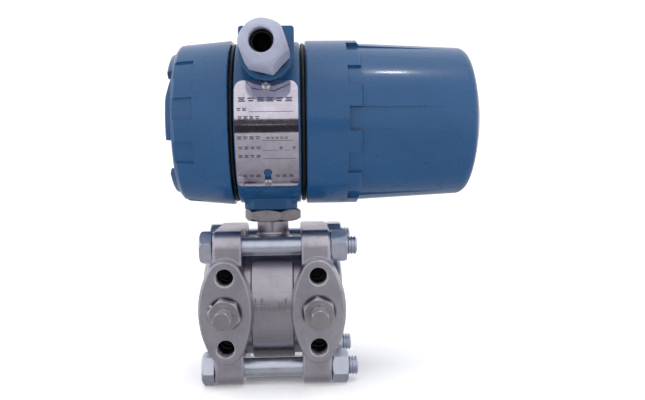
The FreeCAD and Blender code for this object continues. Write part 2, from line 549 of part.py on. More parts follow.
# corner between the tapering wall and the domed end
xc = bell_x1 + 5.27
rc = dome_r(xc)
outer = [Part.makeLine(V(lc_x0, bi, 0), V(lc_x0, lc_r - 0.7, 0)),
         Part.makeLine(V(lc_x0, lc_r - 0.7, 0), V(lc_x0 + 0.7, lc_r, 0)),
         Part.makeLine(V(lc_x0 + 0.7, lc_r, 0), V(lc_x1 - 0.5, lc_r, 0)),
         Part.makeLine(V(lc_x1 - 0.5, lc_r, 0), V(lc_x1, lc_r - 0.5, 0)),
         Part.makeLine(V(lc_x1, lc_r - 0.5, 0), V(bell_x0, bell_r0, 0)),
         Part.makeLine(V(bell_x0, bell_r0, 0), V(bell_x1, bell_r1, 0)),
         Part.Arc(V(bell_x1, bell_r1, 0), V(bell_x1 + 3.23, bell_r1 - 1.2, 0), V(xc, rc, 0)).toShape(),
         Part.Arc(V(xc, rc, 0), V(dome_x - (dome_R - math.sqrt(dome_R ** 2 - 22.0 ** 2)), 22.0, 0), V(dome_x, 0, 0)).toShape(),
         Part.makeLine(V(dome_x, 0, 0), V(dome_x - 3.4, 0, 0)),
         Part.Arc(V(dome_x - 3.4, 0, 0), V(dome_x - 3.4 - (dome_R - math.sqrt(dome_R ** 2 - 20.0 ** 2)), 20.0, 0), V(xc - 3.6, rc - 3.4, 0)).toShape(),
         Part.makeLine(V(xc - 3.6, rc - 3.4, 0), V(40.0, bell_r0 - 3.4, 0)),
         Part.makeLine(V(40.0, bell_r0 - 3.4, 0), V(36.0, bi, 0)),
         Part.makeLine(V(36.0, bi, 0), V(lc_x0, bi, 0))]
lc = turn_wire_x(outer, ax_z)
slope = (bell_r1 - bell_r0) / (bell_x1 - bell_x0)
cuts = []
for k in range(12):
    g = 30.0 * k - 0.4
    if k % 2 == 0:
        xe = 108.0
        re = bell_r0 + slope * (xe - bell_x0) + 0.05
        rs = bell_r0 - 0.95
        cuts.append(turn_x([(45.7, rs + 0.35), (xe, re), (xe, 56), (45.7, 56)], ax_z, g - 7.9, 15.8))
    else:
        cuts.append(turn_x([(45.2, 48.75), (54.5, 48.75), (54.5, 56), (45.2, 56)], ax_z, g - 7.6, 15.2))
lc = lc.cut(cuts)
add("long_cover", lc)

sc_pts = [(sc_x0, bi), (sc_x0, sc_r0 - 0.6), (sc_x0 - 0.6, sc_r0), (sc_x1 + 1.0, sc_r1 + 0.05), (sc_x1 - 0.6, sc_r1 - 0.35), (sc_end + 0.5, 45.4), (sc_end, 44.6),
          (sc_end, 0), (sc_end + 3.6, 0), (sc_end + 3.6, 42.6), (-40.0, bi - 1.4), (-37.4, bi)]
sc = turn_x(sc_pts, ax_z)
def lug_ring(g0, g1, end):
    return turn_x([(sc_end + 1.0, lug_ri - 0.8), (end + 0.5, lug_ri - 0.5), (end, lug_ri + 0.2), (end, lug_ro - 0.9), (end + 0.5, lug_ro), (sc_end + 1.0, lug_ro + 1.6)], ax_z, g0, g1 - g0)


lugs = []
for k in range(3):
    g = 120.0 * k
    lugs.append(lug_ring(g - 15.0, g + 16.0, lug_end))
    lugs.append(lug_ring(g + 42.0, g + 73.0, lug_end))
    # low ramp that runs up to every other lug
    rp = lug_ring(g + 15.0, g + 38.0, lug_end)
    wd = box(-70.0, lug_end, -60.0, -20.0, -40.0, 40.0)
    wd.rotate(V(lug_end, -40.0, 0), V(0, 1, 0), 12.1)
    wd.rotate(V(0, 0, 0), V(-1, 0, 0), g + 16.0)
    wd.translate(V(0, 0, ax_z))
    lugs.append(rp.cut(wd))
sc = fuse([sc] + lugs)
cuts = []
for k in range(12):
    if k % 4 == 2:
        continue
    g = 7.3 + 30.0 * k
    cuts.append(turn_x([(-42.6, 47.55), (-57.0, 46.05), (-57.0, 56), (-42.6, 56)], ax_z, g - 7.5, 15.0))
sc = sc.cut(cuts)
add("short_cover", sc)

o1 = Part.makeTorus(47.38, 1.22, V(0, 0, 0), V(1, 0, 0))
o1.translate(V(0.5 * (bar_l + sc_x0), 0, ax_z))
o2 = Part.makeTorus(47.55, 1.38, V(0, 0, 0), V(1, 0, 0))
o2.translate(V(0.5 * (bar_r_end + lc_x0), 0, ax_z))
add("short_cover_o_ring", o1)
add("long_cover_o_ring", o2)

# ------------------------------ electronics --------------------------------
st_ang = (90.0, 210.0, 330.0)
st_r = 31.5
def at(ang, r):
    a = math.radians(ang)
    return r * math.cos(a), ax_z + r * math.sin(a)
brd_a, brd_c = -26.4, -35.6
def board(x):
    b = cx(36.5, x - 0.8, x + 0.8, 0, ax_z)
    b = b.cut([cx(1.6, x - 2, x + 2, *at(g, st_r)) for g in st_ang])
    b = b.cut(cx(5.0, x - 2, x + 2, 0, ax_z - 24.0))
    return b
comps_a = [box(brd_a - 3.4, brd_a - 0.8, -12, 3, ax_z - 6, ax_z + 8), box(brd_a - 5.0, brd_a - 0.8, 10, 20, ax_z - 8, ax_z + 2),
           cx(4.0, brd_a - 6.5, brd_a - 0.8, 16, ax_z + 14), box(brd_a - 2.6, brd_a - 0.8, -24, -15, ax_z - 14, ax_z - 6)]
add("amplifier_board", fuse([board(brd_a)] + comps_a))
comps_c = [box(brd_c - 3.2, brd_c - 0.8, -8, 8, ax_z + 8, ax_z + 16), cx(3.2, brd_c - 7.0, brd_c - 0.8, -14, ax_z - 12), cx(3.2, brd_c - 7.0, brd_c - 0.8, -4, ax_z - 12),
           box(brd_c - 4.6, brd_c - 0.8, 8, 22, ax_z - 18, ax_z - 10), box(brd_c - 2.4, brd_c - 0.8, -24, -14, ax_z + 2, ax_z + 8)]
add("calibration_board", fuse([board(brd_c)] + comps_c))
sp = []
for g in st_ang:
    y, z = at(g, st_r)
    sp.append(cx(2.6, brd_a + 0.8, part_x0, y, z).cut(cx(1.25, brd_a, part_x0 + 0.1, y, z)))
    sp.append(cx(2.6, brd_c + 0.8, brd_a - 0.8, y, z).cut(cx(1.25, brd_c, brd_a + 0.1, y, z)))
add("board_spacers", sp)
add("board_screws", [fuse([cx(1.2, brd_c - 1.0, part_x0, *at(g, st_r)), cx(2.5, brd_c - 2.6, brd_c - 0.8, *at(g, st_r)).cut(box(brd_c - 2.7, brd_c - 1.8, at(g, st_r)[0] - 3, at(g, st_r)[0] + 3, at(g, st_r)[1] - 0.35, at(g, st_r)[1] + 0.35))]) for g in st_ang])
tr = []
for g in adj_angs:
    a = math.radians(g)
    d = V(0, -math.cos(a), math.sin(a))
    b = Part.makeBox(9.0, 5.2, 9.6, V(-9.0, -2.6, 0))
    b.Placement = FreeCAD.Placement(V(-15.1, d.y * 26.6, ax_z + d.z * 26.6), FreeCAD.Rotation(V(1, 0, 0), 90.0 - g))
    tr.append(b)
tr = [b.common(box(-25.6, -15.0, -60, 0, 80, 150)) for b in tr]
add("trimmers", tr)

# terminal block and what is screwed to it
tb = cx(36.8, low_x1, 25.5, 0, ax_z).cut(box(0, 40, -60, 60, ax_z + 19.0, 200))
term = [(-21.0, -2.0), (-7.0, -2.0), (7.0, -2.0), (21.0, -2.0)]
tb = tb.cut([box(22.0, 40, y - 5.2, y + 5.2, ax_z - 14.0, ax_z + 14.0) for y, z in term])
tb = tb.cut([cx(1.7, 14.0, 40, y, ax_z + z) for y, z in term] + [cx(1.7, low_x1 - 1, 40, y, ax_z - 24.0) for y in (-16.0, 16.0)])
add("terminal_block", tb)
add("terminal_screws", [fuse([cx(1.6, 15.5, 24.4, y, ax_z + z), cx(4.0, 24.0, 26.8, y, ax_z + z)]).cut(box(25.9, 27, y - 5, y + 5, ax_z + z - 0.45, ax_z + z + 0.45)) for y, z in term])
add("terminal_clamps", [box(22.05, 23.9, y - 4.6, y + 4.6, ax_z + z - 4.6, ax_z + z + 4.6).cut(cx(1.7, 20, 25, y, ax_z + z)) for y, z in term])
add("terminal_block_screws", [fuse([cx(1.6, low_x1 + 0.3, 25.6, y, ax_z - 24.0), cx(3.1, 25.5, 27.6, y, ax_z - 24.0)]).cut(box(26.9, 28, y - 5, y + 5, ax_z - 24.4, ax_z - 23.6)) for y in (-16.0, 16.0)])
add("partition_bushing", fuse([cx(3.95, part_x0 - 2.0, part_x1 + 2.0, 22.0, 104.0)] + [cx(0.5, part_x0 - 6, part_x1 + 5, 22.0 + a, 104.0 + b) for a, b in ((-1.6, -1.0), (1.6, -1.0), (0, 1.8))]))
add("ground_screw", fuse([cx(2.4, part_x1, part_x1 + 3, 0, ax_z + 27.0).cut(cx(0.1, 0, 1)), cx(4.2, part_x1 + 3.0, part_x1 + 6.2, 0, ax_z + 27.0)]).cut(box(part_x1 + 5.4, part_x1 + 7, -5, 5, ax_z + 26.5, ax_z + 27.5)))

# ------------------------------ to the row frame ---------------------------
boxes = [s.optimalBoundingBox(False, False) for s in nodes.values()]
xmin = min(b.XMin for b in boxes)
xmax = max(b.XMax for b in boxes)
ymin = min(b.YMin for b in boxes)
ymax = max(b.YMax for b in boxes)
zmin = min(b.ZMin for b in boxes)
zmax = max(b.ZMax for b in boxes)
print("working box", round(xmin, 3), round(xmax, 3), round(ymin, 3), round(ymax, 3), round(zmin, 3), round(zmax, 3))
off = V(-0.5 * (xmin + xmax), -0.5 * (ymin + ymax), -zmin)
print("offset", round(off.x, 4), round(off.y, 4), round(off.z, 4))

for name, shape in nodes.items():
    s = shape.copy()
    s.translate(off)
    n = len(s.Solids)
    if not s.isValid() or n == 0 or s.Volume <= 0:
        print("BAD", name, s.isValid(), n, s.Volume)
    s.exportStep("parts/" + name + ".step")
    print("%-26s solids %d volume %.1f" % (name, n, s.Volume))
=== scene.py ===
import math
import bpy
import numpy as np
from mathutils import Matrix, Vector


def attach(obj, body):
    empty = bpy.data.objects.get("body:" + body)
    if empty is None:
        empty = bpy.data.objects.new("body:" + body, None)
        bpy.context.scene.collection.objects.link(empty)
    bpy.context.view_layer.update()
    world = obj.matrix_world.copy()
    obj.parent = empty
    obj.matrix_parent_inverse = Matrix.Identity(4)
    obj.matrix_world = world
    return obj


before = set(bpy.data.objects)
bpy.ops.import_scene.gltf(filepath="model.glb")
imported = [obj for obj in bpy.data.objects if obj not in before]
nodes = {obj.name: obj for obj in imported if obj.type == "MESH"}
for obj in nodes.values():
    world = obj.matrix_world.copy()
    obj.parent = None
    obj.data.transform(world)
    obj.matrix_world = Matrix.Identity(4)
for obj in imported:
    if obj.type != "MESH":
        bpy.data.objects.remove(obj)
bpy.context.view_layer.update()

# Working axes of the part in mm: X along the housing, -Y the vent side, +Z up,
# origin midway between the process ports.  OFF carries them to the row frame.
OFF = np.array([-34.8, 13.3926, 46.14])
AXZ = 110.8


def to_row(p):
    return (np.asarray(p, float) + OFF) / 1000.0


# --------------------------------------------------------------------------
# node helpers
# --------------------------------------------------------------------------
class Mat:
    def __init__(self, name):
        self.m = bpy.data.materials.new(name)
        self.m.use_nodes = True
        self.nt = self.m.node_tree
        self.n, self.l = self.nt.nodes, self.nt.links
        self.b = self.n["Principled BSDF"]
        self.tc = self.n.new("ShaderNodeTexCoord")
        self.obj = self.tc.outputs["Object"]

    def set(self, **k):
        names = {"rough": "Roughness", "metal": "Metallic", "color": "Base Color", "coat": "Coat Weight", "coat_rough": "Coat Roughness",
                 "spec": "Specular IOR Level", "ior": "IOR", "sss": "Subsurface Weight", "sss_r": "Subsurface Radius", "sss_s": "Subsurface Scale",
                 "sheen": "Sheen Weight", "aniso": "Anisotropic", "trans": "Transmission Weight", "alpha": "Alpha", "coat_ior": "Coat IOR"}
        for a, v in k.items():
            self.b.inputs[names[a]].default_value = v
        return self

    def scaled(self, sx, sy, sz, vec=None):
        m = self.n.new("ShaderNodeMapping")
        m.inputs["Scale"].default_value = (sx, sy, sz)
        self.l.new(vec or self.obj, m.inputs["Vector"])
        return m.outputs["Vector"]

    def noise(self, mm, detail=3.0, rough=0.5, vec=None, dist=0.0):
        t = self.n.new("ShaderNodeTexNoise")
        t.inputs["Scale"].default_value = 1000.0 / mm
        t.inputs["Detail"].default_value = detail
        t.inputs["Roughness"].default_value = rough
        t.inputs["Distortion"].default_value = dist
        self.l.new(vec or self.obj, t.inputs["Vector"])
        return t.outputs["Fac"]

    def voronoi(self, mm, vec=None, feature="F1"):
        t = self.n.new("ShaderNodeTexVoronoi")
        t.feature = feature
        t.inputs["Scale"].default_value = 1000.0 / mm
        self.l.new(vec or self.obj, t.inputs["Vector"])
        return t.outputs["Distance"]

    def math(self, op, a, b=None, c=None, clamp=False):
        t = self.n.new("ShaderNodeMath")
        t.operation = op
        t.use_clamp = clamp
        for i, v in enumerate((a, b, c)):
            if v is None:
                continue
            if isinstance(v, (int, float)):
                t.inputs[i].default_value = v
            else:
                self.l.new(v, t.inputs[i])
        return t.outputs[0]

    def ramp(self, fac, stops, interp="LINEAR"):
        t = self.n.new("ShaderNodeValToRGB")
        t.color_ramp.interpolation = interp
        e = t.color_ramp.elements
        while len(e) > 1:
            e.remove(e[-1])
        e[0].position, e[0].color = stops[0][0], col(stops[0][1])
        for p, c in stops[1:]:
            q = e.new(p)
            q.color = col(c)
        self.l.new(fac, t.inputs["Fac"])
        return t.outputs["Color"]

    def span(self, fac, a, b, lo_, hi_):
        t = self.n.new("ShaderNodeMapRange")
        t.inputs["From Min"].default_value = a
        t.inputs["From Max"].default_value = b
        t.inputs["To Min"].default_value = lo_
        t.inputs["To Max"].default_value = hi_
        self.l.new(fac, t.inputs["Value"])
        return t.outputs["Result"]

    def mix(self, fac, a, b, mode="MIX"):
        t = self.n.new("ShaderNodeMix")
        t.data_type = "RGBA"
        t.blend_type = mode
        for sock, v in ((t.inputs[0], fac), (t.inputs[6], a), (t.inputs[7], b)):
            if isinstance(v, (int, float)):
                sock.default_value = v
            elif isinstance(v, (tuple, list)):
                sock.default_value = col(v)
            else:
                self.l.new(v, sock)
        return t.outputs[2]

    def bump(self, height, mm, strength=1.0, normal=None):
        t = self.n.new("ShaderNodeBump")
        t.inputs["Strength"].default_value = strength
        t.inputs["Distance"].default_value = mm / 1000.0
        self.l.new(height, t.inputs["Height"])
        if normal is not None:
            self.l.new(normal, t.inputs["Normal"])
        return t.outputs["Normal"]

    def soft(self, mm):
        """Normal that rounds every sharp edge by this radius."""
        t = self.n.new("ShaderNodeBevel")
        t.samples = 8
        t.inputs["Radius"].default_value = mm / 1000.0
        return t.outputs["Normal"]

    def xyz(self, vec=None):
        t = self.n.new("ShaderNodeSeparateXYZ")
        self.l.new(vec or self.obj, t.inputs[0])
        return t.outputs

    def link(self, out, name):
        self.l.new(out, self.b.inputs[name])
        return self


def col(c):
    return tuple(c) if len(c) == 4 else (c[0], c[1], c[2], 1.0)


def srgb(r, g, b):
    f = lambda v: (v / 255.0 / 12.92) if v <= 10 else (((v / 255.0) + 0.055) / 1.055) ** 2.4
    return (f(r), f(g), f(b), 1.0)


def dress(node, mat):
    """Give a CAD node's object one material."""
    o = nodes[node]
    o.data.materials.clear()
    o.data.materials.append(mat.m)


# --------------------------------------------------------------------------
# materials
# --------------------------------------------------------------------------
def make_enamel():
    m = Mat("enamel_blue")
    wide = m.noise(38, 2.0, 0.5)
    mid = m.noise(7.0, 3.0, 0.55)
    fine = m.noise(1.5, 2.0, 0.5)
    c = m.ramp(wide, [(0.3, srgb(22, 67, 108)), (0.7, srgb(26, 72, 113))])
    m.link(c, "Base Color")
    r = m.math("ADD", m.span(mid, 0.3, 0.7, 0.26, 0.30), m.span(fine, 0.3, 0.7, 0.0, 0.01))
    m.link(r, "Roughness")
    h = m.math("ADD", m.math("MULTIPLY", mid, 0.7), m.math("MULTIPLY", fine, 0.22))
    m.link(m.bump(h, 0.010, 0.2, m.soft(0.5)), "Normal")
    m.set(metal=0.0, coat=0.38, coat_rough=0.12, spec=0.34)
    return m


def make_cast(name, base, dark, rough_lo, rough_hi, grain=0.42, lump=5.0, holes=False, edge=0.6):
    m = Mat(name)
    wide = m.noise(22, 3.0, 0.55)
    g = m.noise(grain, 2.0, 0.6)
    l = m.noise(lump, 3.0, 0.55)
    c = m.ramp(wide, [(0.28, dark), (0.72, base)])
    pits = m.voronoi(1.3)
    c = m.mix(m.span(pits, 0.0, 0.16, 0.35, 0.0), c, tuple(v * 0.55 for v in dark[:3]))
    c = m.mix(m.span(g, 0.35, 0.7, 0.0, 0.22), c, tuple(min(1.0, v * 1.18) for v in base[:3]))
    c = m.mix(m.span(l, 0.50, 0.72, 0.0, 0.38), c, tuple(v * 0.80 for v in dark[:3]))
    if holes:
        # painted shade inside the tapped holes: the deep part of each hole is coloured dark navy
        x, y, z = m.xyz()
        dx = m.math("SUBTRACT", m.math("ABSOLUTE", m.math("SUBTRACT", x, float(OFF[0]) / 1000.0)), 0.027)
        dz = m.math("SUBTRACT", m.math("ABSOLUTE", m.math("SUBTRACT", z, float(OFF[2]) / 1000.0)), 0.02065)
        rr = m.math("SQRT", m.math("ADD", m.math("MULTIPLY", dx, dx), m.math("MULTIPLY", dz, dz)))
        dy = m.math("ABSOLUTE", m.math("SUBTRACT", y, float(OFF[1]) / 1000.0))
        inside = m.math("MULTIPLY", m.span(rr, 0.0054, 0.0057, 1.0, 0.0), m.span(dy, 0.0330, 0.0385, 1.0, 0.0))
        c = m.mix(inside, c, (0.035, 0.038, 0.05))
        # dull, oiled first turns of the thread
        mouth = m.math("MULTIPLY", m.span(rr, 0.0054, 0.0057, 1.0, 0.0), m.span(dy, 0.0424, 0.0429, 1.0, 0.0))
        m.link(m.math("SUBTRACT", 1.0, m.math("MULTIPLY", mouth, 0.75)), "Metallic")
        # painted shade round the foot of each vent seat: a dark ring on the flange face where the hex seat stands off
        # it
        r2 = m.math("SQRT", m.math("ADD", m.math("MULTIPLY", dx, dx), m.math("POWER", m.math("SUBTRACT", z, float(OFF[2]) / 1000.0), 2.0)))
        foot = m.math("MULTIPLY", m.span(r2, 0.0092, 0.0106, 1.0, 0.0), m.span(dy, 0.0405, 0.0420, 0.0, 1.0))
        c = m.mix(m.math("MULTIPLY", foot, 0.9), c, (0.03, 0.028, 0.035))
    m.link(c, "Base Color")
    m.link(m.span(m.math("ADD", m.math("MULTIPLY", l, 0.6), m.math("MULTIPLY", g, 0.4)), 0.3, 0.7, rough_lo, rough_hi), "Roughness")
    h = m.math("ADD", m.math("MULTIPLY", g, 0.35), m.math("MULTIPLY", l, 0.9))
    m.link(m.bump(h, 0.10, 0.5, m.soft(edge)), "Normal")
    if not holes:
        m.set(metal=1.0)
    return m


def make_turned(name, base, dark, axis, line_mm, rough_lo, rough_hi, depth=0.02, streak=0.0, under=False):
    """Steel turned on a lathe: fine lines across 'axis', long along the others."""
    m = Mat(name)
    s = [0.035, 0.035, 0.035]
    s[axis] = 1.0
    v = m.scaled(*s)
    lines = m.noise(line_mm, 4.0, 0.65, v)
    lines2 = m.noise(line_mm * 4.5, 3.0, 0.6, v)
    wide = m.noise(16, 3.0, 0.6)
    c = m.ramp(wide, [(0.28, dark), (0.72, base)])
    c = m.mix(m.span(lines, 0.35, 0.7, 0.0, 0.35), c, tuple(v_ * 0.72 for v_ in dark[:3]))
    if streak:
        drawn = m.noise(1.1, 3.0, 0.55, m.scaled(0.04, 1.0, 1.0))
        c = m.mix(m.span(drawn, 0.42, 0.70, 0.0, streak), c, tuple(min(1.0, v_ * 1.35) for v_ in base[:3]))
    stain = m.noise(9, 4.0, 0.65)
    c = m.mix(m.span(stain, 0.62, 0.75, 0.0, 0.28), c, (dark[0] * 0.9, dark[1] * 0.78, dark[2] * 0.72))
    if under:
        # painted shade on the underside: the colour darkens towards the bottom
        x, y, z = m.xyz()
        low = m.math("SUBTRACT", z, float(OFF[2]) / 1000.0)
        c = m.mix(m.span(low, -0.0290, -0.0205, 0.8, 0.0), c, (0.05, 0.05, 0.065))
    m.link(c, "Base Color")
    m.link(m.span(m.math("ADD", m.math("MULTIPLY", lines, 0.5), m.math("MULTIPLY", lines2, 0.5)), 0.35, 0.65, rough_lo, rough_hi), "Roughness")
    m.link(m.bump(m.math("ADD", lines, m.math("MULTIPLY", lines2, 0.8)), depth, 0.7, m.soft(0.3)), "Normal")
    m.set(metal=1.0)
    return m


def make_zinc(name, base, dark, rough_lo=0.17, rough_hi=0.29):
    m = Mat(name)
    cloud = m.noise(6.0, 4.0, 0.6)
    g = m.noise(0.5, 2.0, 0.5)
    v = m.scaled(0.06, 1.0, 1.0)
    draw = m.noise(1.0, 3.0, 0.6, v)
    c = m.ramp(cloud, [(0.3, dark), (0.68, base)])
    bloom = m.noise(2.4, 5.0, 0.7)
    c = m.mix(m.span(bloom, 0.6, 0.74, 0.0, 0.35), c, (0.80, 0.81, 0.84))
    m.link(c, "Base Color")
    m.link(m.math("ADD", m.span(cloud, 0.3, 0.7, rough_lo, rough_hi), m.span(bloom, 0.6, 0.75, 0.0, 0.16)), "Roughness")
    h = m.math("ADD", m.math("MULTIPLY", g, 0.3), m.math("MULTIPLY", draw, 0.6))
    m.link(m.bump(h, 0.016, 0.4, m.soft(0.3)), "Normal")
    m.set(metal=1.0)
    return m


def make_nylon():
    m = Mat("nylon_pale")
    wide = m.noise(9, 3.0, 0.5)
    fine = m.noise(0.35, 2.0, 0.5)
    flow = m.noise(3.0, 3.0, 0.6, m.scaled(1.0, 0.25, 1.0))
    c = m.ramp(wide, [(0.3, srgb(141, 145, 165)), (0.7, srgb(155, 159, 179))])
    c = m.mix(m.span(flow, 0.55, 0.75, 0.0, 0.3), c, srgb(131, 133, 153))
    m.link(c, "Base Color")
    m.link(m.span(flow, 0.3, 0.7, 0.30, 0.44), "Roughness")
    m.link(m.bump(m.math("ADD", m.math("MULTIPLY", fine, 0.25), m.math("MULTIPLY", flow, 0.8)), 0.06, 0.5), "Normal")
    m.set(sss=0.05, sss_r=(1.0, 0.9, 1.0), sss_s=0.0015, spec=0.5)
    return m


def make_rubber(name="rubber_black", shade=0.003):
    m = Mat(name)
    fine = m.noise(0.5, 3.0, 0.6)
    wide = m.noise(8, 3.0, 0.6)
    c = m.ramp(wide, [(0.3, (shade, shade, shade * 1.1)), (0.7, (shade * 1.9, shade * 1.9, shade * 2.2))])
    dust = m.noise(1.6, 5.0, 0.7)
    c = m.mix(m.span(dust, 0.6, 0.78, 0.0, 0.12), c, (0.06, 0.06, 0.07))
    m.link(c, "Base Color")
    m.link(m.span(wide, 0.3, 0.7, 0.28, 0.42), "Roughness")
    m.link(m.bump(fine, 0.02, 0.4), "Normal")
    m.set(spec=0.28)
    return m


def make_plastic(name, a, b, rough=(0.35, 0.5)):
    m = Mat(name)
    wide = m.noise(7, 3.0, 0.6)
    fine = m.noise(0.4, 2.0, 0.5)
    m.link(m.ramp(wide, [(0.3, a), (0.7, b)]), "Base Color")
    m.link(m.span(wide, 0.3, 0.7, rough[0], rough[1]), "Roughness")
    m.link(m.bump(fine, 0.025, 0.5), "Normal")
    return m


def make_board():
    m = Mat("board_green")
    x, y, z = m.xyz()
    # copper tracks under the mask, and a grid of plated pads
    tr = m.n.new("ShaderNodeTexBrick")
    tr.inputs["Scale"].default_value = 1.0
    tr.inputs["Brick Width"].default_value = 0.0074
    tr.inputs["Row Height"].default_value = 0.0026
    tr.inputs["Mortar Size"].default_value = 0.00028
    tr.inputs["Color1"].default_value = srgb(20, 92, 52)
    tr.inputs["Color2"].default_value = srgb(24, 100, 58)
    tr.inputs["Mortar"].default_value = srgb(38, 128, 74)
    comb = m.n.new("ShaderNodeCombineXYZ")
    m.l.new(y, comb.inputs[0])
    m.l.new(z, comb.inputs[1])
    m.l.new(comb.outputs[0], tr.inputs["Vector"])
    pads = m.voronoi(3.2, comb.outputs[0])
    c = m.mix(m.span(pads, 0.14, 0.17, 1.0, 0.0), tr.outputs["Color"], (0.72, 0.70, 0.66))
    m.link(c, "Base Color")
    m.link(m.span(m.noise(4, 3, 0.5), 0.3, 0.7, 0.25, 0.4), "Roughness")
    m.link(m.bump(tr.outputs["Fac"], 0.05, 0.4), "Normal")
    return m


def make_plate():
    m = Mat("plate_brushed")
    v = m.scaled(0.05, 1.0, 1.0)
    brush = m.noise(0.28, 4.0, 0.7, v)
    blotch = m.noise(7.0, 4.0, 0.65)
    c = m.ramp(blotch, [(0.3, srgb(206, 199, 212)), (0.7, srgb(230, 226, 234))])
    c = m.mix(m.span(brush, 0.4, 0.75, 0.0, 0.25), c, srgb(160, 154, 168))
    m.link(c, "Base Color")
    m.link(m.span(m.math("ADD", m.math("MULTIPLY", brush, 0.5), m.math("MULTIPLY", blotch, 0.5)), 0.35, 0.65, 0.05, 0.11), "Roughness")
    m.link(m.bump(m.math("ADD", m.math("MULTIPLY", brush, 0.12), blotch), 0.006, 0.3), "Normal")
    m.set(metal=1.0)
    return m


def make_ink():
    m = Mat("ink_grey_blue")
    w = m.noise(0.7, 3.0, 0.6)
    m.link(m.ramp(w, [(0.3, srgb(40, 38, 58)), (0.75, srgb(76, 72, 94))]), "Base Color")
    m.link(m.span(w, 0.3, 0.7, 0.4, 0.6), "Roughness")
    return m


enamel = make_enamel()
# holes=True paints shade inside the tapped holes and round the foot of each vent seat
cast = make_cast("steel_cast", (0.66, 0.635, 0.69), (0.46, 0.44, 0.49), 0.29, 0.44, holes=True)
# under=True paints shade on the sensor ring's underside
ring_steel = make_turned("steel_ring", (0.53, 0.505, 0.55), (0.43, 0.405, 0.45), 0, 0.30, 0.26, 0.40, streak=0.16, under=True)
neck_steel = make_turned("steel_neck", (0.47, 0.45, 0.49), (0.37, 0.35, 0.39), 2, 0.35, 0.24, 0.38)
zinc = make_zinc("zinc_bolts", (0.72, 0.755, 0.84), (0.57, 0.61, 0.70), 0.27, 0.40)
vent_steel = make_turned("steel_vent", (0.64, 0.61, 0.63), (0.50, 0.47, 0.50), 1, 0.4, 0.24, 0.38)
nut_steel = make_cast("steel_neck_nut", (0.40, 0.38, 0.40), (0.29, 0.27, 0.29), 0.40, 0.55, 0.5, 3.0)
nylon = make_nylon()
rubber = make_rubber()
bright = make_zinc("steel_screw", (0.78, 0.77, 0.78), (0.62, 0.61, 0.64), 0.12, 0.22)
board = make_board()
dark_plastic = make_plastic("plastic_dark", (0.014, 0.014, 0.016), (0.03, 0.03, 0.034))
pot_blue = make_plastic("plastic_trimmer", srgb(34, 66, 160), srgb(46, 84, 180), (0.2, 0.3))
white_plastic = make_plastic("plastic_white", srgb(205, 204, 198), srgb(226, 224, 218))
brass = make_zinc("brass_plated", (0.74, 0.58, 0.28), (0.60, 0.45, 0.20), 0.2, 0.34)
plate = make_plate()
ink = make_ink()

wear = {
    "sensor_module": ring_steel, "sensing_cell_high": ring_steel, "sensing_cell_low": ring_steel, "sensing_diaphragm": bright,
    "isolating_diaphragm_high": bright, "isolating_diaphragm_low": bright, "process_gasket_high": white_plastic, "process_gasket_low": white_plastic,
    "lead_header": dark_plastic, "lead_connector": dark_plastic, "flange_high": cast, "flange_low": cast, "flange_bolts": zinc, "flange_nuts": zinc,
    "vent_seat_high": vent_steel, "vent_seat_low": vent_steel, "vent_stem_high": vent_steel, "vent_stem_low": vent_steel, "lock_nut": nut_steel,
    "housing": enamel, "housing_partition": enamel, "nameplate": plate, "nameplate_screws": bright, "zero_adjuster": brass, "span_adjuster": brass,
    "gland_gasket": rubber, "gland_body": nylon, "gland_nut": nylon, "gland_seal": rubber, "rear_conduit_plug": zinc,
    "long_cover": enamel, "short_cover": enamel, "short_cover_o_ring": rubber, "long_cover_o_ring": rubber,
    "amplifier_board": board, "calibration_board": board, "board_spacers": brass, "board_screws": bright, "trimmers": pot_blue,
    "partition_bushing": white_plastic, "terminal_block": dark_plastic, "terminal_block_screws": bright, "terminal_screws": brass,
    "terminal_clamps": brass, "ground_screw": brass,
}
for n, m in wear.items():
    dress(n, m)


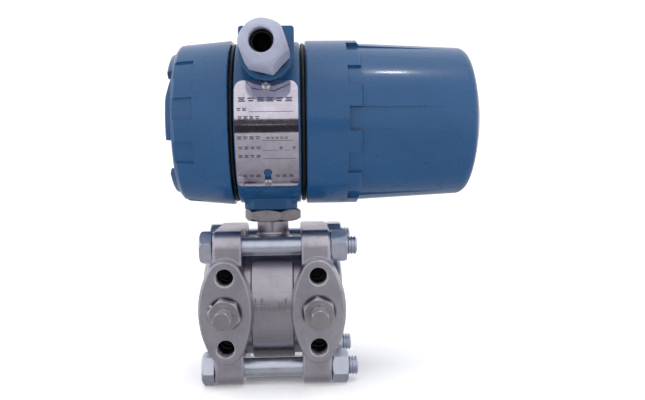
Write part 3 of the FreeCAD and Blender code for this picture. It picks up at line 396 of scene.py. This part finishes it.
# --------------------------------------------------------------------------
# print on the name plate: blank fields and plain bars, curved with the plate
# --------------------------------------------------------------------------
def plate_print():
    v, f = [], []
    r = 50.55 + 0.03

    def bar(x0, x1, t0, t1):
        lo_, hi_ = min(t0, t1), max(t0, t1)
        n = max(1, int(math.ceil((hi_ - lo_) / 1.2)))
        b = len(v)
        for i in range(n + 1):
            t = math.radians(lo_ + (hi_ - lo_) * i / n)
            for x in (x0, x1):
                v.append(tuple(to_row((x, -r * math.cos(t), AXZ + r * math.sin(t)))))
        for i in range(n):
            f.append((b + 2 * i, b + 2 * i + 1, b + 2 * i + 3, b + 2 * i + 2))

    def marks(x0, x1, n, tc, h, kinds):
        """n plain marks between x0 and x1: each is two or three bars."""
        p = (x1 - x0) / n
        for i in range(n):
            a, b = x0 + p * i + 0.13 * p, x0 + p * (i + 1) - 0.13 * p
            k = kinds[i % len(kinds)]
            th = h * 0.24
            for q in range(k):
                c = tc + h * (0.5 - (q + 0.5) / k)
                inset = 0.10 * p * (q % 2)
                bar(a + inset, b - inset, c - th / 2 * (3.0 / k) ** 0.5, c + th / 2 * (3.0 / k) ** 0.5)

    marks(-17.2, 14.2, 6, 12.2, 3.2, (3, 2, 3))                 # heading
    marks(-17.9, -11.6, 2, 5.9, 2.2, (2, 3))                    # row with a blank field
    bar(-10.7, 14.1, 4.55, 4.25)
    marks(-17.3, -4.4, 4, 0.7, 2.2, (2, 3, 3))
    bar(-3.4, 14.2, -0.8, -1.1)
    marks(-18.0, -4.2, 4, -12.0, 2.2, (3, 2))
    bar(-3.6, 14.2, -13.7, -14.0)
    marks(-1.6, 11.2, 5, -12.2, 1.7, (2,))
    marks(-17.5, -4.0, 4, -18.6, 2.2, (2, 3, 2))
    bar(-3.4, 4.6, -20.2, -20.5)
    marks(5.6, 8.2, 1, -18.8, 2.0, (3,))
    bar(9.0, 11.8, -20.2, -20.5)
    marks(12.9, 15.5, 1, -18.8, 2.2, (2,))
    marks(-17.6, -4.2, 4, -24.2, 2.2, (3, 3, 2))
    bar(-3.5, 14.9, -25.9, -26.2)
    marks(-16.2, -4.6, 3, -39.2, 2.3, (3, 2, 3))
    marks(2.7, 14.2, 3, -39.4, 2.3, (2, 3, 3))
    me = bpy.data.meshes.new("plate_print")
    me.from_pydata(v, [], f)
    me.materials.append(ink.m)
    o = bpy.data.objects.new("plate_print", me)
    bpy.context.scene.collection.objects.link(o)
    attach(o, "plate")
    return o


plate_print()

# --------------------------------------------------------------------------
# stage, camera, lights
# --------------------------------------------------------------------------
def stage_mat(name, c, rough=0.9):
    m = Mat(name)
    w = m.noise(400, 2, 0.5)
    m.link(m.ramp(w, [(0.2, c), (0.8, tuple(min(1, v * 1.01) for v in c[:3]))]), "Base Color")
    m.set(rough=rough, spec=0.1)
    return m


floor_m = stage_mat("floor_pale", (0.93, 0.93, 0.932, 1))
floor_m.b.inputs["Emission Color"].default_value = (1.0, 1.0, 1.0, 1.0)
floor_m.b.inputs["Emission Strength"].default_value = 0.10


def make_floor():
    """A round floor that curves up into a low wall all the way round."""
    prof = [(0.0, 0.0), (0.3, 0.0), (0.8, 0.0), (1.3, 0.0)]
    for k in range(1, 13):
        a = k / 12 * math.pi / 2
        prof.append((1.3 + 0.5 * math.sin(a), 0.5 - 0.5 * math.cos(a)))
    prof.append((1.8, 1.3))
    n = 96
    v, f = [(0, 0, 0)], []
    for r, z in prof[1:]:
        v += [(r * math.cos(2 * math.pi * j / n), r * math.sin(2 * math.pi * j / n), z - 0.0002) for j in range(n)]
    f += [(0, 1 + j, 1 + (j + 1) % n) for j in range(n)]
    for i in range(len(prof) - 2):
        a, b = 1 + i * n, 1 + (i + 1) * n
        f += [(a + j, b + j, b + (j + 1) % n, a + (j + 1) % n) for j in range(n)]
    me = bpy.data.meshes.new("studio_floor")
    me.from_pydata(v, [], f)
    me.polygons.foreach_set("use_smooth", [True] * len(me.polygons))
    o = bpy.data.objects.new("studio_floor", me)
    o.data.materials.append(floor_m.m)
    bpy.context.scene.collection.objects.link(o)
    o.visible_glossy = False
    return o


make_floor()


def area(name, loc, target, size, power, color=(1, 1, 1), size_y=None, camera=False):
    d = bpy.data.lights.new(name, "AREA")
    d.shape = "RECTANGLE"
    d.size, d.size_y = size, size_y or size
    d.energy = power
    d.color = color
    o = bpy.data.objects.new(name, d)
    o.location = loc
    o.rotation_mode = "QUATERNION"
    o.rotation_quaternion = (Vector(target) - Vector(loc)).to_track_quat("-Z", "Y")
    bpy.context.scene.collection.objects.link(o)
    o.visible_camera = camera
    return o


mid = Vector((0.0, 0.0, 0.11))
for lamp_args in (("sky_panel", (0.0, -0.1, 1.35), mid, 1.7, 13.0, (1.0, 0.99, 0.985), 1.3),
                  ("front_left", (-0.9, -1.1, 0.75), mid, 0.7, 2.0, (0.97, 0.98, 1.0))):
    area(*lamp_args).visible_glossy = False
area("lamp", (0.245, -0.285, 1.12), (0.03, -0.03, 0.18), 0.055, 0.6, (1, 1, 1), 0.03)

w = bpy.data.worlds.new("studio_world")
bpy.context.scene.world = w
w.use_nodes = True
wn, wl = w.node_tree.nodes, w.node_tree.links
bg = wn["Background"]
wt = wn.new("ShaderNodeTexCoord")
ws = wn.new("ShaderNodeSeparateXYZ")
wr = wn.new("ShaderNodeValToRGB")
wl.new(wt.outputs["Generated"], ws.inputs[0])
wm = wn.new("ShaderNodeMapRange")
wm.inputs["From Min"].default_value = -1.0
wm.inputs["From Max"].default_value = 1.0
wl.new(ws.outputs["Z"], wm.inputs["Value"])
wl.new(wm.outputs["Result"], wr.inputs["Fac"])
we = wr.color_ramp.elements
we[0].position, we[0].color = 0.1, (0.30, 0.32, 0.36, 1)
we[1].position, we[1].color = 0.9, (0.93, 0.95, 1.0, 1)
wl.new(wr.outputs["Color"], bg.inputs["Color"])
bg.inputs["Strength"].default_value = 0.85


def make_surround():
    """A large ball round the set that only polished surfaces see: bright overhead,
    greyer round the sides, with a plain dark grey screen behind the camera."""
    me = bpy.data.meshes.new("surround")
    R, nu, nv = 2.6, 96, 48
    v, f = [], []
    for i in range(nv + 1):
        p = math.pi * i / nv
        for j in range(nu):
            t = 2 * math.pi * j / nu
            v.append((R * math.sin(p) * math.cos(t), R * math.sin(p) * math.sin(t), R * math.cos(p)))
    for i in range(nv):
        for j in range(nu):
            f.append((i * nu + j, i * nu + (j + 1) % nu, (i + 1) * nu + (j + 1) % nu, (i + 1) * nu + j))
    me.from_pydata(v, [], f)
    o = bpy.data.objects.new("surround", me)
    o.location = (0.0, 0.0, 0.12)
    m = bpy.data.materials.new("surround")
    m.use_nodes = True
    M = Mat.__new__(Mat)
    M.m, M.nt = m, m.node_tree
    M.n, M.l = M.nt.nodes, M.nt.links
    M.tc = M.n.new("ShaderNodeTexCoord")
    M.obj = M.tc.outputs["Object"]
    x, y, z = M.xyz()
    up = M.math("DIVIDE", z, R)
    base = M.ramp(M.span(up, -1.0, 1.0, 0.0, 1.0), SURROUND)
    az = M.math("ARCTAN2", x, M.math("MULTIPLY", y, -1.0))
    wobble = M.math("MULTIPLY", M.math("SUBTRACT", M.noise(420.0, 2.0, 0.5), 0.5), 0.06)
    side = M.math("MULTIPLY", M.span(az, SCREEN[0], SCREEN[0] + 0.02, 0.0, 1.0), M.span(az, SCREEN[1], SCREEN[1] + 0.02, 1.0, 0.0))
    u2 = M.math("ADD", up, wobble)
    hi_ = M.math("MULTIPLY", M.math("GREATER_THAN", up, SCREEN[3]), M.math("LESS_THAN", up, SCREEN[4]))
    lo_ = M.math("MULTIPLY", M.math("GREATER_THAN", up, SCREEN[2]), M.math("LESS_THAN", u2, SCREEN[3]))
    c = M.mix(M.math("MULTIPLY", side, hi_), base, (0.085, 0.070, 0.074))
    c = M.mix(M.math("MULTIPLY", side, lo_), c, (0.034, 0.035, 0.042))
    e = M.n.new("ShaderNodeEmission")
    M.l.new(c, e.inputs["Color"])
    for n_ in list(M.n):
        if n_.type == "BSDF_PRINCIPLED":
            M.n.remove(n_)
    out = [n_ for n_ in M.n if n_.type == "OUTPUT_MATERIAL"][0]
    M.l.new(e.outputs[0], out.inputs["Surface"])
    me.materials.append(m)
    bpy.context.scene.collection.objects.link(o)
    o.visible_camera = False
    o.visible_diffuse = False
    o.visible_shadow = False
    o.visible_transmission = False
    return o


# brightness of the surround from straight down to straight up
SURROUND = [(0.0, (0.28, 0.275, 0.295)), (0.07, (0.37, 0.365, 0.39)), (0.14, (0.43, 0.425, 0.45)), (0.30, (0.45, 0.445, 0.47)), (0.42, (0.68, 0.67, 0.71)), (0.50, (0.82, 0.81, 0.85)), (0.60, (0.88, 0.87, 0.91)), (0.78, (0.86, 0.86, 0.90)), (1.0, (0.90, 0.91, 0.94))]
# dark screens: azimuth from -Y (radians) left and right, then sines of elevation: bottom, join, top
SCREEN = (-0.26, 0.10, -0.255, -0.065, 0.062)
make_surround()

R3 = np.array([[0.99913, -0.03978, -0.01298], [0.01537, 0.06040, 0.99806], [0.03892, 0.99738, -0.06096]])
cd = bpy.data.cameras.new("camera")
cd.sensor_fit = "HORIZONTAL"
cd.sensor_width = 36.0
cd.lens = 682.295 / 645.0 * 36.0
cd.clip_start, cd.clip_end = 0.02, 20.0
cam = bpy.data.objects.new("camera", cd)
mw = Matrix.Identity(4)
for i in range(3):
    mw[i][0], mw[i][1], mw[i][2] = R3[0][i], R3[1][i], -R3[2][i]
cl = to_row((14.737, -431.58, 88.396))
mw[0][3], mw[1][3], mw[2][3] = cl
cam.matrix_world = mw
bpy.context.scene.collection.objects.link(cam)
bpy.context.scene.camera = cam
bpy.context.scene.view_settings.view_transform = "Standard"
